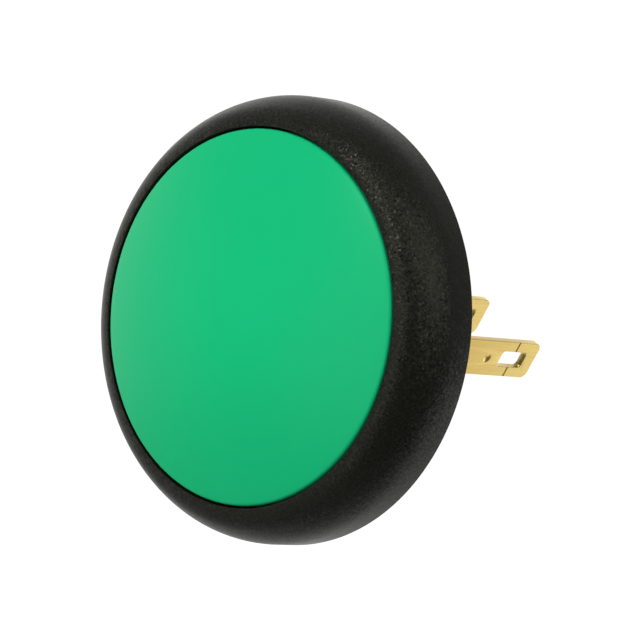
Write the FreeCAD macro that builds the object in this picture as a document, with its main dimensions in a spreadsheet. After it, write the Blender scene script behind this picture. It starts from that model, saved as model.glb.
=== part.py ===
import FreeCAD, Part
import Sketcher
import math
import os
from collections import namedtuple

# Sealed momentary pushbutton switch for a panel, in millimetres.
# Each piece is drawn about its own z axis, the axis of the button: z = 0 is the panel
# seat, negative z is the front and positive z the back. Its Placement lays that axis
# along +Y, so the button faces -Y, +Z is up and the terminals stand side by side in X.

SIZES = {
    # Bezel: a straight foot, a large side radius and a smaller nose round the cap
    "bezel_diameter": 30.0,
    "bezel_height": 5.3,
    "side_radius": 4.75,
    "nose_radius": 2.0,
    "shoulder_angle": 36.0,
    # Well under the cap, with a deeper moat for the skirt
    "cap_gap": 0.15,
    "floor_thickness": 2.3,
    "moat_floor": 1.5,
    "moat_width": 1.85,
    # Bushing through the panel, let into the floor of the well by its flange
    "bushing_diameter": 12.0,
    "bushing_length": 9.5,
    "bushing_chamfer": 0.5,
    "bushing_flange_diameter": 15.0,
    "bushing_flange_thickness": 0.8,
    "bushing_collar_diameter": 12.8,
    "cavity_diameter": 9.2,
    # Rubber ring in the panel seat
    "gasket_diameter": 20.0,
    "gasket_section": 1.3,
    "gasket_proud": 0.3,
    "gasket_side_gap": 0.35,
    # Cap
    "cap_diameter": 25.0,
    "dome_height": 2.2,
    "cap_wall": 1.4,
    "skirt_wall": 1.2,
    "cap_edge_radius": 0.3,
    "cap_boss_diameter": 7.6,
    "rib_length": 5.7,
    "rib_thickness": 0.9,
    "rib_setback": 0.3,
    "rib_count": 6,
    "press_clearance": 0.3,
    # Plunger
    "spigot_diameter": 4.4,
    "spigot_length": 2.0,
    "stem_diameter": 6.0,
    "flange_diameter": 8.6,
    "flange_thickness": 0.8,
    "pilot_diameter": 2.3,
    "pilot_length": 0.5,
    "pin_diameter": 1.6,
    "pin_tail": 0.6,
    "pin_chamfer": 0.15,
    # Stem seal and the ring that keeps it in
    "guide_length": 2.0,
    "seal_section": 1.0,
    "seal_end_play": 0.2,
    "retainer_thickness": 0.6,
    # Fits
    "running_clearance": 0.05,
    "seat_clearance": 0.02,
    # Contacts: the travel is the gap and the overtravel together
    "contact_gap": 0.8,
    "overtravel": 0.7,
    "contact_offset": 2.1,
    "contact_diameter": 1.3,
    "contact_height": 0.4,
    "contact_crown": 0.1,
    "shank_diameter": 0.6,
    # Bridge and the clip that holds it on the pin
    "bridge_width": 2.4,
    "bridge_thickness": 0.5,
    "bridge_end": 0.95,
    "bridge_corner_radius": 0.7,
    "clip_diameter": 2.5,
    "clip_thickness": 0.4,
    "clip_groove_depth": 0.25,
    "clip_mouth": 0.95,
    # Springs
    "return_spring_diameter": 8.1,
    "return_wire": 0.45,
    "return_turns": 4.0,
    "contact_spring_diameter": 2.8,
    "contact_spring_length": 2.25,
    "contact_wire": 0.25,
    "contact_turns": 3.5,
    # Terminals
    "terminal_pitch": 5.6,
    "terminal_width": 2.8,
    "terminal_thickness": 0.5,
    "terminal_reach": 22.0,
    "terminal_tip_radius": 0.5,
    "foot_end": 1.4,
    "eye_length": 2.6,
    "eye_width": 1.25,
    "eye_corner_radius": 0.25,
    "eye_margin": 1.1,
    "score_width": 0.16,
    "score_depth": 0.07,
    "dimple_diameter": 0.7,
    "dimple_depth": 0.14,
    "dimple_setback": 5.1,
    # Base that carries the terminals, and the sealing compound in its back
    "base_flange_diameter": 10.6,
    "base_flange_thickness": 0.7,
    "base_tail_diameter": 9.4,
    "base_tail_length": 1.0,
    "base_rim": 0.8,
    "pocket_clearance": 0.35,
    "epoxy_thickness": 1.0,
    "epoxy_sink": 0.2,
}

SHEET_NAME = "size"
AXIS = FreeCAD.Vector(0, 0, 1)
LAY_ALONG_Y = FreeCAD.Rotation(FreeCAD.Vector(1, 0, 0), -90)
HALF_TURN = FreeCAD.Rotation(AXIS, 180)
FACE_FRONT = FreeCAD.Rotation(FreeCAD.Vector(1, 0, 0), 180)
# Directions of an arc, as its outline is followed
LEFT = 1
RIGHT = -1
MATCH = 1e-4


class Size:
    """A number, with the formula in the sheet's cells that it comes from."""

    def __init__(self, value, formula):
        self.value = value
        self.formula = formula

    def __neg__(self):
        return Size(-self.value, f"(-1 * {self.formula})")

    def __add__(self, other):
        other = as_size(other)
        return Size(self.value + other.value, f"({self.formula} + {other.formula})")

    def __sub__(self, other):
        other = as_size(other)
        return Size(self.value - other.value, f"({self.formula} - {other.formula})")

    def __mul__(self, other):
        other = as_size(other)
        return Size(self.value * other.value, f"({self.formula} * {other.formula})")

    def __truediv__(self, other):
        other = as_size(other)
        return Size(self.value / other.value, f"({self.formula} / {other.formula})")


def as_size(number):
    return number if isinstance(number, Size) else Size(number, str(number))


def size(alias):
    return Size(SIZES[alias], f"{SHEET_NAME}.{alias}")


def root(number):
    return Size(math.sqrt(number.value), f"sqrt({number.formula})")


def cosine(angle):
    return Size(math.cos(math.radians(angle.value)), f"cos({angle.formula})")


def sine(angle):
    return Size(math.sin(math.radians(angle.value)), f"sin({angle.formula})")


ZERO = as_size(0)

# Radii that several pieces share
cap_radius = size("cap_diameter") / 2
well_radius = cap_radius + size("cap_gap")
bushing_radius = size("bushing_diameter") / 2
bushing_flange_radius = size("bushing_flange_diameter") / 2
bushing_collar_radius = size("bushing_collar_diameter") / 2
cavity_radius = size("cavity_diameter") / 2
stem_radius = size("stem_diameter") / 2
guide_radius = stem_radius + size("running_clearance")
chamber_radius = stem_radius + size("seal_section") + size("running_clearance")
spigot_radius = size("spigot_diameter") / 2
pin_radius = size("pin_diameter") / 2
clip_groove_radius = pin_radius - size("clip_groove_depth")

# Stations along the axis, from the front to the back
travel = size("contact_gap") + size("overtravel")
rim_z = -size("bezel_height")
apex_z = rim_z - size("dome_height")
floor_z = -size("floor_thickness")
ledge_z = floor_z + size("bushing_flange_thickness")
boss_z = floor_z - travel - size("press_clearance")
spigot_z = boss_z - size("spigot_length")
skirt_z = -size("moat_floor") - travel - size("press_clearance")
guide_end_z = floor_z + size("guide_length")
chamber_end_z = guide_end_z + size("seal_section") + size("seal_end_play")
retainer_end_z = chamber_end_z + size("retainer_thickness")
flange_front_z = retainer_end_z + size("running_clearance")
flange_back_z = flange_front_z + size("flange_thickness")
bridge_front_z = flange_back_z + size("contact_spring_length")
bridge_back_z = bridge_front_z + size("bridge_thickness")
clip_front_z = bridge_back_z + size("seat_clearance")
clip_back_z = clip_front_z + size("clip_thickness")
pin_end_z = clip_back_z + size("pin_tail")
moving_face_z = bridge_back_z + size("contact_height")
fixed_face_z = moving_face_z + size("contact_gap") + size("running_clearance")
foot_front_z = fixed_face_z + size("contact_height")
base_front_z = foot_front_z + size("terminal_thickness")
bushing_end_z = size("bushing_length")
base_flange_z = bushing_end_z + size("base_flange_thickness")
base_end_z = base_flange_z + size("base_tail_length")
epoxy_back_z = base_end_z - size("epoxy_sink")
epoxy_front_z = epoxy_back_z - size("epoxy_thickness")
terminal_tip_z = size("terminal_reach")

# Dome of the cap: an arc through its apex and its rim, centred on the axis
dome_height = size("dome_height")
dome_radius = (cap_radius * cap_radius + dome_height * dome_height) / (dome_height * 2)
dome_centre_z = apex_z + dome_radius

# Faces of one terminal blade, and its eye
blade_outer_x = (size("terminal_pitch") + size("terminal_thickness")) / 2
blade_inner_x = (size("terminal_pitch") - size("terminal_thickness")) / 2
eye_end_z = terminal_tip_z - size("eye_margin")
eye_start_z = eye_end_z - size("eye_length")

# An outline's corner, with the arc that follows it where that edge isn't straight
Corner = namedtuple("Corner", "x y radius turn", defaults=(None, LEFT))

doc = FreeCAD.newDocument("pushbutton_switch")
pieces = []


def make_sheet():
    sheet = doc.addObject("Spreadsheet::Sheet", SHEET_NAME)
    for row, (alias, value) in enumerate(SIZES.items(), start=1):
        sheet.set(f"A{row}", alias)
        sheet.set(f"B{row}", str(value))
        sheet.setAlias(f"B{row}", alias)
    doc.recompute()


def origin_part(body, role):
    return next(part for part in body.Origin.OriginFeatures if part.Role == role)


def place(piece, label, rotation=LAY_ALONG_Y, x=ZERO, y=ZERO):
    """Names a piece and sets it in the switch, x across the button and y along its axis."""
    piece.Label = label
    piece.Placement = FreeCAD.Placement(FreeCAD.Vector(x.value, y.value, 0), rotation)
    piece.setExpression("Placement.Base.x", x.formula)
    piece.setExpression("Placement.Base.y", y.formula)
    pieces.append(piece)


def new_body(label, **where):
    body = doc.addObject("PartDesign::Body", label)
    place(body, label, **where)
    return body


def new_sketch(body, name, plane="XZ_Plane", height=ZERO):
    sketch = body.newObject("Sketcher::SketchObject", name)
    sketch.AttachmentSupport = (origin_part(body, plane), [""])
    sketch.MapMode = "FlatFace"
    sketch.setExpression("AttachmentOffset.Base.z", height.formula)
    return sketch


def bind(sketch, kind, anchor, length):
    """Adds a dimension to a sketch, bound to the sheet."""
    number = sketch.addConstraint(Sketcher.Constraint(kind, *anchor, length.value))
    sketch.setExpression(f"Constraints[{number}]", length.formula)


def arc_between(start, end, radius, turn):
    chord = end - start
    rise = math.sqrt(radius ** 2 - (chord.Length / 2) ** 2)
    across = FreeCAD.Vector(-chord.y, chord.x, 0).normalize() * rise * turn
    centre = (start + end) / 2 + across
    first, last = (start, end) if turn == LEFT else (end, start)
    from_angle = math.atan2(first.y - centre.y, first.x - centre.x)
    to_angle = math.atan2(last.y - centre.y, last.x - centre.x)
    return Part.ArcOfCircle(Part.Circle(centre, AXIS, radius), from_angle, to_angle)


def draw_outline(sketch, corners):
    """Draws a closed outline whose corners and radii are bound to the sheet."""
    points = [FreeCAD.Vector(corner.x.value, corner.y.value, 0) for corner in corners]
    starts = []
    ends = []
    edges = []
    for corner, start, end in zip(corners, points, points[1:] + points[:1]):
        if corner.radius is None:
            edge = Part.LineSegment(start, end)
        else:
            edge = arc_between(start, end, corner.radius.value, corner.turn)
        backwards = corner.radius is not None and corner.turn == RIGHT
        edges.append(sketch.addGeometry(edge, False))
        starts.append(2 if backwards else 1)
        ends.append(1 if backwards else 2)
    for i, corner in enumerate(corners):
        joined = (edges[i - 1], ends[i - 1], edges[i], starts[i])
        sketch.addConstraint(Sketcher.Constraint("Coincident", *joined))
        bind(sketch, "DistanceX", (-1, 1, edges[i], starts[i]), corner.x)
        bind(sketch, "DistanceY", (-1, 1, edges[i], starts[i]), corner.y)
        if corner.radius is not None:
            bind(sketch, "Radius", (edges[i],), corner.radius)


def draw_circle(sketch, radius, x=ZERO, y=ZERO):
    centre = FreeCAD.Vector(x.value, y.value, 0)
    edge = sketch.addGeometry(Part.Circle(centre, AXIS, radius.value), False)
    bind(sketch, "DistanceX", (-1, 1, edge, 3), x)
    bind(sketch, "DistanceY", (-1, 1, edge, 3), y)
    bind(sketch, "Radius", (edge,), radius)


def rectangle(x_low, x_high, y_low, y_high):
    return [Corner(x_low, y_low), Corner(x_high, y_low), Corner(x_high, y_high), Corner(x_low, y_high)]


def rounded_rectangle(half_width, y_low, y_high, radius):
    left, right = -half_width, half_width
    return [
        Corner(left + radius, y_low),
        Corner(right - radius, y_low, radius, LEFT),
        Corner(right, y_low + radius),
        Corner(right, y_high - radius, radius, LEFT),
        Corner(right - radius, y_high),
        Corner(left + radius, y_high, radius, LEFT),
        Corner(left, y_high - radius),
        Corner(left, y_low + radius, radius, LEFT),
    ]


def revolve(body, name, corners):
    """Turns an outline of radius and depth about the axis of the button."""
    sketch = new_sketch(body, name + "_outline")
    draw_outline(sketch, corners)
    turned = body.newObject("PartDesign::Revolution", name)
    turned.Profile = sketch
    turned.ReferenceAxis = (sketch, ["V_Axis"])
    turned.Angle = 360
    doc.recompute()
    return turned


def pad(body, name, sketch, length, side="One side"):
    feature = body.newObject("PartDesign::Pad", name)
    feature.Profile = sketch
    feature.SideType = side
    feature.setExpression("Length", length.formula)
    doc.recompute()
    return feature


def cut_through(body, name, sketch):
    """Cuts an outline through the body, on both sides of its sketch."""
    before = body.Shape.Volume
    pocket = body.newObject("PartDesign::Pocket", name)
    pocket.Profile = sketch
    pocket.Type = "ThroughAll"
    pocket.SideType = "Symmetric"
    doc.recompute()
    if body.Shape.Volume > before - MATCH:
        raise RuntimeError(f"{name} cuts nothing")
    return pocket


def fillet(body, name, radius, wanted):
    """Rounds the edges of the body's last feature for which wanted(edge) is true."""
    last = body.Tip
    edges = [f"Edge{i}" for i, edge in enumerate(last.Shape.Edges, start=1) if wanted(edge)]
    feature = body.newObject("PartDesign::Fillet", name)
    feature.Base = (last, edges)
    feature.setExpression("Radius", radius.formula)
    doc.recompute()
    return feature


def close(number, length):
    return abs(number - length.value) < MATCH


def make_housing():
    body = new_body("housing")
    shoulder = size("shoulder_angle")
    nose = size("nose_radius")
    side = size("side_radius")
    bezel_radius = size("bezel_diameter") / 2
    nose_r = bezel_radius - side + (side - nose) * cosine(shoulder)
    nose_z = rim_z + nose
    lip_inset = well_radius - nose_r
    lip_z = nose_z - root(nose * nose - lip_inset * lip_inset)
    shoulder_r = nose_r + nose * cosine(shoulder)
    shoulder_z = nose_z - nose * sine(shoulder)
    side_z = shoulder_z + side * sine(shoulder)
    groove_half = size("gasket_section") / 2 + size("gasket_side_gap")
    groove_outer = size("gasket_diameter") / 2 + groove_half
    groove_inner = size("gasket_diameter") / 2 - groove_half
    groove_z = size("gasket_proud") - size("gasket_section")
    plateau_radius = well_radius - size("moat_width")
    hole_radius = bushing_collar_radius + size("seat_clearance")
    pocket_radius = bushing_flange_radius + size("seat_clearance")
    revolve(body, "housing_moulding", [
        Corner(well_radius, lip_z, nose, LEFT),
        Corner(shoulder_r, shoulder_z, side, LEFT),
        Corner(bezel_radius, side_z),
        Corner(bezel_radius, ZERO),
        Corner(groove_outer, ZERO),
        Corner(groove_outer, groove_z),
        Corner(groove_inner, groove_z),
        Corner(groove_inner, ZERO),
        Corner(hole_radius, ZERO),
        Corner(hole_radius, ledge_z),
        Corner(pocket_radius, ledge_z),
        Corner(pocket_radius, floor_z),
        Corner(plateau_radius, floor_z),
        Corner(plateau_radius, -size("moat_floor")),
        Corner(well_radius, -size("moat_floor")),
    ])


def make_bushing():
    """Makes the bushing: its flange and collar sit in the housing, and its bore guides the plunger."""
    body = new_body("bushing")
    chamfer = size("bushing_chamfer")
    revolve(body, "bushing_moulding", [
        Corner(guide_radius, floor_z),
        Corner(bushing_flange_radius, floor_z),
        Corner(bushing_flange_radius, ledge_z),
        Corner(bushing_collar_radius, ledge_z),
        Corner(bushing_collar_radius, ZERO),
        Corner(bushing_radius, ZERO),
        Corner(bushing_radius, bushing_end_z - chamfer),
        Corner(bushing_radius - chamfer, bushing_end_z),
        Corner(cavity_radius, bushing_end_z),
        Corner(cavity_radius, chamber_end_z),
        Corner(chamber_radius, chamber_end_z),
        Corner(chamber_radius, guide_end_z),
        Corner(guide_radius, guide_end_z),
    ])


def make_button_cap():
    body = new_body("button_cap")
    inner_radius = cap_radius - size("skirt_wall")
    boss_radius = size("cap_boss_diameter") / 2
    socket_radius = spigot_radius + size("seat_clearance")
    socket_z = spigot_z - size("running_clearance")

    def dome_z(radius, depth):
        """Height of the dome at a radius, so deep under its outer face."""
        sphere = dome_radius - depth
        return dome_centre_z - root(sphere * sphere - radius * radius)

    ceiling = dome_radius - size("cap_wall")
    revolve(body, "cap_moulding", [
        Corner(ZERO, apex_z, dome_radius, LEFT),
        Corner(cap_radius, rim_z),
        Corner(cap_radius, skirt_z),
        Corner(inner_radius, skirt_z),
        Corner(inner_radius, dome_z(inner_radius, size("cap_wall")), ceiling, RIGHT),
        Corner(boss_radius, dome_z(boss_radius, size("cap_wall"))),
        Corner(boss_radius, boss_z),
        Corner(socket_radius, boss_z),
        Corner(socket_radius, socket_z),
        Corner(ZERO, socket_z),
    ])
    add_cap_ribs(body, (boss_radius + socket_radius) / 2, boss_radius + size("rib_length"), dome_z)

    def is_rim(edge):
        lies_at_rim = close(edge.BoundBox.ZMin, rim_z) and close(edge.BoundBox.ZMax, rim_z)
        return lies_at_rim and close(edge.BoundBox.XMax, cap_radius)

    fillet(body, "cap_edge", size("cap_edge_radius"), is_rim)


def add_cap_ribs(body, rib_start, rib_end, dome_z):
    """Adds the stiffening ribs between the boss and the dome, sunk halfway into its wall."""
    sunk = size("cap_wall") / 2
    rib_z = boss_z - size("rib_setback")
    sketch = new_sketch(body, "rib_outline")
    draw_outline(sketch, [
        Corner(rib_start, rib_z),
        Corner(rib_end, rib_z),
        Corner(rib_end, dome_z(rib_end, sunk), dome_radius - sunk, RIGHT),
        Corner(rib_start, dome_z(rib_start, sunk)),
    ])
    rib = pad(body, "rib", sketch, size("rib_thickness"), side="Symmetric")
    pattern = body.newObject("PartDesign::PolarPattern", "ribs")
    pattern.Originals = [rib]
    pattern.Axis = (origin_part(body, "Z_Axis"), [""])
    pattern.Angle = 360
    pattern.setExpression("Occurrences", size("rib_count").formula)
    body.Tip = pattern
    doc.recompute()


def make_plunger():
    body = new_body("plunger")
    flange_radius = size("flange_diameter") / 2
    pilot_radius = size("pilot_diameter") / 2
    pilot_z = flange_back_z + size("pilot_length")
    groove_front_z = clip_front_z - size("seat_clearance")
    groove_back_z = clip_back_z + size("seat_clearance")
    chamfer = size("pin_chamfer")
    revolve(body, "plunger_moulding", [
        Corner(ZERO, spigot_z),
        Corner(spigot_radius, spigot_z),
        Corner(spigot_radius, boss_z),
        Corner(stem_radius, boss_z),
        Corner(stem_radius, flange_front_z),
        Corner(flange_radius, flange_front_z),
        Corner(flange_radius, flange_back_z),
        Corner(pilot_radius, flange_back_z),
        Corner(pilot_radius, pilot_z),
        Corner(pin_radius, pilot_z),
        Corner(pin_radius, groove_front_z),
        Corner(clip_groove_radius, groove_front_z),
        Corner(clip_groove_radius, groove_back_z),
        Corner(pin_radius, groove_back_z),
        Corner(pin_radius, pin_end_z - chamfer),
        Corner(pin_radius - chamfer, pin_end_z),
        Corner(ZERO, pin_end_z),
    ])


def make_rubber_ring(label, mean_radius, section, centre_z):
    ring = doc.addObject("Part::Torus", label)
    ring.setExpression("Radius1", mean_radius.formula)
    ring.setExpression("Radius2", (section / 2).formula)
    place(ring, label, y=centre_z)


def make_seals():
    half_clearance = size("running_clearance") / 2
    seal_radius = stem_radius + half_clearance + size("seal_section") / 2
    make_rubber_ring("stem_seal", seal_radius, size("seal_section"), (guide_end_z + chamber_end_z) / 2)
    gasket_z = size("gasket_proud") - size("gasket_section") / 2
    make_rubber_ring("panel_gasket", size("gasket_diameter") / 2, size("gasket_section"), gasket_z)


def make_seal_retainer():
    body = new_body("seal_retainer")
    outer = cavity_radius - size("seat_clearance")
    revolve(body, "retainer_ring", rectangle(guide_radius, outer, chamber_end_z, retainer_end_z))


def make_spring(label, diameter, wire, turns, front_z, back_z):
    """Winds a compression spring that fits between two seats."""
    gap = size("seat_clearance")
    body = new_body(label, y=front_z + gap + wire / 2)
    section = new_sketch(body, label + "_wire")
    draw_circle(section, wire / 2, x=diameter / 2)
    coil = body.newObject("PartDesign::AdditiveHelix", label + "_coil")
    coil.Profile = section
    coil.ReferenceAxis = (section, ["V_Axis"])
    coil.Mode = "height-turns-angle"
    coil.setExpression("Height", (back_z - front_z - wire - gap * 2).formula)
    coil.setExpression("Turns", turns.formula)
    doc.recompute()


def make_springs():
    make_spring(
        "return_spring",
        size("return_spring_diameter"),
        size("return_wire"),
        size("return_turns"),
        flange_back_z,
        base_front_z,
    )
    make_spring(
        "contact_spring",
        size("contact_spring_diameter"),
        size("contact_wire"),
        size("contact_turns"),
        flange_back_z,
        bridge_front_z,
    )


def make_contact_bridge():
    body = new_body("contact_bridge")
    half_length = size("contact_offset") + size("bridge_end")
    half_width = size("bridge_width") / 2
    sketch = new_sketch(body, "bridge_outline", "XY_Plane", bridge_front_z)
    corner_radius = size("bridge_corner_radius")
    rivet_hole = size("shank_diameter") / 2 + size("seat_clearance")
    draw_outline(sketch, rounded_rectangle(half_length, -half_width, half_width, corner_radius))
    draw_circle(sketch, pin_radius + size("running_clearance"))
    for side in (-1, 1):
        draw_circle(sketch, rivet_hole, x=size("contact_offset") * side)
    pad(body, "bridge_strip", sketch, size("bridge_thickness"))


def make_contact(label, side, face_z, plate_thickness, rotation):
    """Makes a contact rivet, drawn with its head behind z = 0 and its shank in the plate before it."""
    body = new_body(label, rotation=rotation, x=size("contact_offset") * side, y=face_z)
    head_radius = size("contact_diameter") / 2
    shank_radius = size("shank_diameter") / 2
    height = size("contact_height")
    crown = size("contact_crown")
    crown_radius = (head_radius * head_radius + crown * crown) / (crown * 2)
    revolve(body, label + "_rivet", [
        Corner(ZERO, -plate_thickness),
        Corner(shank_radius, -plate_thickness),
        Corner(shank_radius, ZERO),
        Corner(head_radius, ZERO),
        Corner(head_radius, height - crown, crown_radius, LEFT),
        Corner(ZERO, height),
    ])


def make_contacts():
    for name, side in (("left", -1), ("right", 1)):
        bridge = size("bridge_thickness")
        foot = size("terminal_thickness")
        make_contact(f"moving_contact_{name}", side, bridge_back_z, bridge, LAY_ALONG_Y)
        make_contact(f"fixed_contact_{name}", side, foot_front_z, foot, LAY_ALONG_Y * FACE_FRONT)


def make_retaining_clip():
    body = new_body("retaining_clip")
    outer = size("clip_diameter") / 2
    half_mouth = size("clip_mouth") / 2
    sketch = new_sketch(body, "clip_outline", "XY_Plane", clip_front_z)
    draw_circle(sketch, outer)
    draw_circle(sketch, clip_groove_radius + size("seat_clearance"))
    pad(body, "clip_ring", sketch, size("clip_thickness"))
    mouth = new_sketch(body, "mouth_outline", "XY_Plane")
    draw_outline(mouth, rectangle(-half_mouth, half_mouth, ZERO, outer * 2))
    cut_through(body, "clip_mouth", mouth)


def make_terminal(label, rotation):
    """Stamps one terminal: a foot under the contact, bent into a blade with an eye for the wire."""
    body = new_body(label, rotation=rotation)
    thickness = size("terminal_thickness")
    strip = new_sketch(body, label + "_strip")
    draw_outline(strip, [
        Corner(size("foot_end"), foot_front_z),
        Corner(blade_inner_x, foot_front_z, thickness, LEFT),
        Corner(blade_outer_x, base_front_z),
        Corner(blade_outer_x, terminal_tip_z),
        Corner(blade_inner_x, terminal_tip_z),
        Corner(blade_inner_x, base_front_z),
        Corner(size("foot_end"), base_front_z),
    ])
    pad(body, label + "_blade", strip, size("terminal_width"), side="Symmetric")
    rivet_hole = new_sketch(body, label + "_rivet_hole", "XY_Plane")
    hole_radius = size("shank_diameter") / 2 + size("seat_clearance")
    draw_circle(rivet_hole, hole_radius, x=size("contact_offset"))
    cut_through(body, label + "_foot_hole", rivet_hole)
    eye = new_sketch(body, label + "_eye_outline", "YZ_Plane")
    eye_half = size("eye_width") / 2
    draw_outline(eye, rounded_rectangle(eye_half, eye_start_z, eye_end_z, size("eye_corner_radius")))
    cut_through(body, label + "_eye", eye)
    add_score_lines(body, label)
    add_dimple(body, label)

    def is_tip_corner(edge):
        at_tip = close(edge.BoundBox.ZMin, terminal_tip_z) and close(edge.BoundBox.ZMax, terminal_tip_z)
        across = close(edge.BoundBox.XLength, thickness)
        return at_tip and across

    fillet(body, label + "_tip", size("terminal_tip_radius"), is_tip_corner)


def add_score_lines(body, label):
    """Scores both faces of the blade across the middle of its eye."""
    middle = (eye_start_z + eye_end_z) / 2
    half_width = size("score_width") / 2
    depth = size("score_depth")
    sketch = new_sketch(body, label + "_score_outline")
    for face, inwards in ((blade_outer_x, -1), (blade_inner_x, 1)):
        draw_outline(sketch, [
            Corner(face, middle - half_width),
            Corner(face, middle + half_width),
            Corner(face + depth * inwards, middle),
        ])
    cut_through(body, label + "_score", sketch)


def add_dimple(body, label):
    """Sinks the small round dimple in the outer face of the blade."""
    before = body.Shape.Volume
    dimple = body.newObject("PartDesign::SubtractiveCone", label + "_dimple")
    dimple.AttachmentSupport = (origin_part(body, "YZ_Plane"), [""])
    dimple.MapMode = "FlatFace"
    dimple.setExpression("AttachmentOffset.Base.y", (terminal_tip_z - size("dimple_setback")).formula)
    dimple.setExpression("AttachmentOffset.Base.z", (blade_outer_x - size("dimple_depth")).formula)
    dimple.Radius1 = 0
    dimple.setExpression("Radius2", (size("dimple_diameter") / 2).formula)
    dimple.setExpression("Height", size("dimple_depth").formula)
    doc.recompute()
    if body.Shape.Volume > before - MATCH:
        raise RuntimeError(f"{label} has no dimple")


def draw_slots(sketch):
    """Draws the two slots that the blades pass through."""
    gap = size("seat_clearance")
    half_width = size("terminal_width") / 2 + gap
    inner = blade_inner_x - gap
    outer = blade_outer_x + gap
    draw_outline(sketch, rectangle(inner, outer, -half_width, half_width))
    draw_outline(sketch, rectangle(-outer, -inner, -half_width, half_width))


def make_terminal_base():
    body = new_body("terminal_base")
    plug_radius = cavity_radius - size("seat_clearance")
    flange_radius = size("base_flange_diameter") / 2
    tail_radius = size("base_tail_diameter") / 2
    recess_radius = tail_radius - size("base_rim")
    pocket_radius = pin_radius + size("pocket_clearance")
    pocket_z = pin_end_z + travel + size("pocket_clearance")
    revolve(body, "base_moulding", [
        Corner(ZERO, pocket_z),
        Corner(pocket_radius, pocket_z),
        Corner(pocket_radius, base_front_z),
        Corner(plug_radius, base_front_z),
        Corner(plug_radius, bushing_end_z),
        Corner(flange_radius, bushing_end_z),
        Corner(flange_radius, base_flange_z),
        Corner(tail_radius, base_flange_z),
        Corner(tail_radius, base_end_z),
        Corner(recess_radius, base_end_z),
        Corner(recess_radius, epoxy_front_z),
        Corner(ZERO, epoxy_front_z),
    ])
    slots = new_sketch(body, "slot_outline", "XY_Plane")
    draw_slots(slots)
    cut_through(body, "terminal_slots", slots)


def make_epoxy_seal():
    body = new_body("epoxy_seal")
    recess_radius = size("base_tail_diameter") / 2 - size("base_rim")
    sketch = new_sketch(body, "epoxy_outline", "XY_Plane", epoxy_front_z)
    draw_circle(sketch, recess_radius - size("seat_clearance"))
    draw_slots(sketch)
    pad(body, "epoxy_fill", sketch, size("epoxy_thickness"))


def check_document():
    for item in doc.Objects:
        if "Invalid" in item.State or "Error" in item.State:
            raise RuntimeError(f"{item.Label} failed: {item.State}")
    for piece in pieces:
        if piece.Shape.isNull() or not piece.Shape.isValid():
            raise RuntimeError(f"{piece.Label} has no valid shape")
        if len(piece.Shape.Solids) != 1:
            raise RuntimeError(f"{piece.Label} isn't one solid")


def export_pieces():
    os.makedirs("parts", exist_ok=True)
    for piece in pieces:
        piece.Shape.exportStep(f"parts/{piece.Label}.step")


make_sheet()
make_housing()
make_bushing()
make_button_cap()
make_plunger()
make_seals()
make_seal_retainer()
make_springs()
make_contact_bridge()
make_contacts()
make_retaining_clip()
make_terminal("terminal_right", LAY_ALONG_Y)
make_terminal("terminal_left", LAY_ALONG_Y * HALF_TURN)
make_terminal_base()
make_epoxy_seal()
doc.recompute()
check_document()
export_pieces()
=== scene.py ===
"""Looks of a round sealed pushbutton switch: a green domed cap in a grained black bezel, a threaded
bushing behind the panel seat and two gold-plated solder tabs. Shapes are named in millimetres and built
in metres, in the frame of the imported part: the button faces -Y, +Z is up and the terminals stand side by
side in X."""

import math

import bmesh
import bpy
from mathutils import Matrix, Vector


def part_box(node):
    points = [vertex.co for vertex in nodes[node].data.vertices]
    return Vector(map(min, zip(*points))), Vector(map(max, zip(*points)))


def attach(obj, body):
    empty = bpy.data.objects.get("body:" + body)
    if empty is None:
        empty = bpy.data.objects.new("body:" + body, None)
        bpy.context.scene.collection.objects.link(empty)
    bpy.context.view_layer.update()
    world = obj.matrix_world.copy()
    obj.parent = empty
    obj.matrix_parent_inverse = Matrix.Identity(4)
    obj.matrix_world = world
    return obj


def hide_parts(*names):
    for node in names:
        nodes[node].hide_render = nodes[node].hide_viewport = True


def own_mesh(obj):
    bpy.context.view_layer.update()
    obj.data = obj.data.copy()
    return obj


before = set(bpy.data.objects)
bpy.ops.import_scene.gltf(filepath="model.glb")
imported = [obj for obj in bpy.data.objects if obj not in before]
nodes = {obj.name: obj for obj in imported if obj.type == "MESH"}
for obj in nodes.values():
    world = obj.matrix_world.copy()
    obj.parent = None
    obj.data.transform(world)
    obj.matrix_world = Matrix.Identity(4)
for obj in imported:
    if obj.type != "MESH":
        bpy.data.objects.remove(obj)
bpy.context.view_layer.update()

MM = 0.001
FULL_TURN = 2 * math.pi
AXIS = Vector((0, 1, 0))

# Photograph: its width in pixels, and the focal length and the middle of the cap's rim found in it
PHOTO_PIXELS = 640
FOCAL_PIXELS = 4540.0
RIM_PIXEL = (246.3, 316.8)
CAMERA_DISTANCE = 300 * MM
CAMERA_AZIMUTH = math.radians(42.1)
CAMERA_ELEVATION = math.radians(-4.08)
# Turn of the switch about its own axis in the photograph
TURN = Matrix.Rotation(math.radians(-36.25), 3, "Y")


# Shapes

SHARP_ANGLE = 35
WELD_DISTANCE = 1e-8
SLIVER_DISTANCE = 1e-9


def ring_point(radius, depth, angle):
    """Point of a turned piece, at an angle that turns right-handed about +Y."""
    return Vector((radius * math.sin(angle), depth, radius * math.cos(angle)))


def arc(centre, radius, start, end, steps):
    """Points of an outline's arc between two points on it, the shorter way round."""
    first = math.atan2(start[1] - centre[1], start[0] - centre[0])
    last = math.atan2(end[1] - centre[1], end[0] - centre[0])
    sweep = (last - first + math.pi) % FULL_TURN - math.pi
    angles = [first + sweep * i / steps for i in range(steps + 1)]
    return [(centre[0] + radius * math.cos(a), centre[1] + radius * math.sin(a)) for a in angles]


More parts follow.
